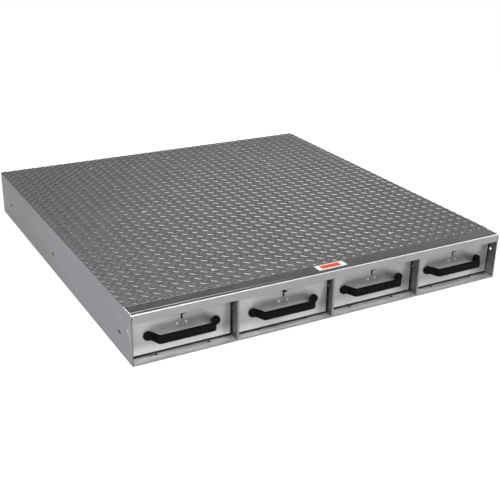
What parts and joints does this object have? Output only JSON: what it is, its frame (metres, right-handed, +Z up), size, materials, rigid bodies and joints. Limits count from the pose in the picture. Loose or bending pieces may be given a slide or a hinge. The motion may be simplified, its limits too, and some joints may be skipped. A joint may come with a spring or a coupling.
{
  "type": "drawer unit",
  "caption": "Low aluminium drawer unit for a vehicle floor: tread plate deck over side-by-side drawers with black bow handles, spring latches and full-extension slides.",
  "frame": {"origin": "middle of the case's footprint, on the floor under the base pan", "axes": "+Z up, +Y towards the back, drawers open towards -Y, X across the front"},
  "size_m": [1.2222, 1.2641, 0.1492],
  "materials": {
    "tread": "bare aluminium tread plate, satin",
    "header": "smooth mill aluminium",
    "mill": "bare mill aluminium, satin",
    "brushed": "semi-gloss aluminium, brushed along the width",
    "zinc": "bright zinc-plated steel",
    "black": "black moulded plastic, fine satin",
    "dark_zinc": "black passivated zinc plate on steel"
  },
  "bodies": {
    "case": {"base_pan": "mill", "left_side_panel": "mill", "right_side_panel": "mill", "divider_1": "mill", "divider_2": "mill", "divider_3": "mill", "back_panel": "mill", "tread_plate": "tread", "front_header": "header", "strike_rail": "mill", "slide_1_left_outer": "zinc", "slide_1_right_outer": "zinc", "slide_2_left_outer": "zinc", "slide_2_right_outer": "zinc", "slide_3_left_outer": "zinc", "slide_3_right_outer": "zinc", "slide_4_left_outer": "zinc", "slide_4_right_outer": "zinc"},
    "middle_1": {"slide_1_left_middle": "zinc", "slide_1_right_middle": "zinc"},
    "drawer_1": {"drawer_1_front": "brushed", "drawer_1_box": "mill", "drawer_1_handle": "black", "latch_1_housing": "zinc", "latch_1_spring": "zinc", "slide_1_left_inner": "zinc", "slide_1_right_inner": "zinc"},
    "latch_1": {"latch_1_bolt": "dark_zinc"},
    "middle_2": {"slide_2_left_middle": "zinc", "slide_2_right_middle": "zinc"},
    "drawer_2": {"drawer_2_front": "brushed", "drawer_2_box": "mill", "drawer_2_handle": "black", "latch_2_housing": "zinc", "latch_2_spring": "zinc", "slide_2_left_inner": "zinc", "slide_2_right_inner": "zinc"},
    "latch_2": {"latch_2_bolt": "dark_zinc"},
    "middle_3": {"slide_3_left_middle": "zinc", "slide_3_right_middle": "zinc"},
    "drawer_3": {"drawer_3_front": "brushed", "drawer_3_box": "mill", "drawer_3_handle": "black", "latch_3_housing": "zinc", "latch_3_spring": "zinc", "slide_3_left_inner": "zinc", "slide_3_right_inner": "zinc"},
    "latch_3": {"latch_3_bolt": "dark_zinc"},
    "middle_4": {"slide_4_left_middle": "zinc", "slide_4_right_middle": "zinc"},
    "drawer_4": {"drawer_4_front": "brushed", "drawer_4_box": "mill", "drawer_4_handle": "black", "latch_4_housing": "zinc", "latch_4_spring": "zinc", "slide_4_left_inner": "zinc", "slide_4_right_inner": "zinc"},
    "latch_4": {"latch_4_bolt": "dark_zinc"}
  },
  "joints": [
    {"name": "drawer_1_slide", "type": "slide", "parent": "case", "child": "drawer_1", "axis": [0, -1, 0], "range_m": [0, 1.1]},
    {"name": "middle_1_slide", "type": "slide", "parent": "case", "child": "middle_1", "axis": [0, -1, 0], "range_m": [0, 0.55]},
    {"name": "latch_1_press", "type": "slide", "parent": "drawer_1", "child": "latch_1", "axis": [0, 0, -1], "range_m": [0, 0.01], "stiffness_N_per_m": 400, "springref_m": -0.01, "deforming": ["latch_1_spring"]},
    {"name": "drawer_2_slide", "type": "slide", "parent": "case", "child": "drawer_2", "axis": [0, -1, 0], "range_m": [-0.008, 1.092]},
    {"name": "middle_2_slide", "type": "slide", "parent": "case", "child": "middle_2", "axis": [0, -1, 0], "range_m": [-0.004, 0.546]},
    {"name": "latch_2_press", "type": "slide", "parent": "drawer_2", "child": "latch_2", "axis": [0, 0, -1], "range_m": [0, 0.01], "stiffness_N_per_m": 400, "springref_m": -0.01, "deforming": ["latch_2_spring"]},
    {"name": "drawer_3_slide", "type": "slide", "parent": "case", "child": "drawer_3", "axis": [0, -1, 0], "range_m": [0, 1.1]},
    {"name": "middle_3_slide", "type": "slide", "parent": "case", "child": "middle_3", "axis": [0, -1, 0], "range_m": [0, 0.55]},
    {"name": "latch_3_press", "type": "slide", "parent": "drawer_3", "child": "latch_3", "axis": [0, 0, -1], "range_m": [0, 0.01], "stiffness_N_per_m": 400, "springref_m": -0.01, "deforming": ["latch_3_spring"]},
    {"name": "drawer_4_slide", "type": "slide", "parent": "case", "child": "drawer_4", "axis": [0, -1, 0], "range_m": [0, 1.1]},
    {"name": "middle_4_slide", "type": "slide", "parent": "case", "child": "middle_4", "axis": [0, -1, 0], "range_m": [0, 0.55]},
    {"name": "latch_4_press", "type": "slide", "parent": "drawer_4", "child": "latch_4", "axis": [0, 0, -1], "range_m": [0, 0.01], "stiffness_N_per_m": 400, "springref_m": -0.01, "deforming": ["latch_4_spring"]}
  ],
  "couplings": [
    {"joint": "middle_1_slide", "follows": "drawer_1_slide", "ratio": 0.5},
    {"joint": "middle_2_slide", "follows": "drawer_2_slide", "ratio": 0.5},
    {"joint": "middle_3_slide", "follows": "drawer_3_slide", "ratio": 0.5},
    {"joint": "middle_4_slide", "follows": "drawer_4_slide", "ratio": 0.5}
  ]
}
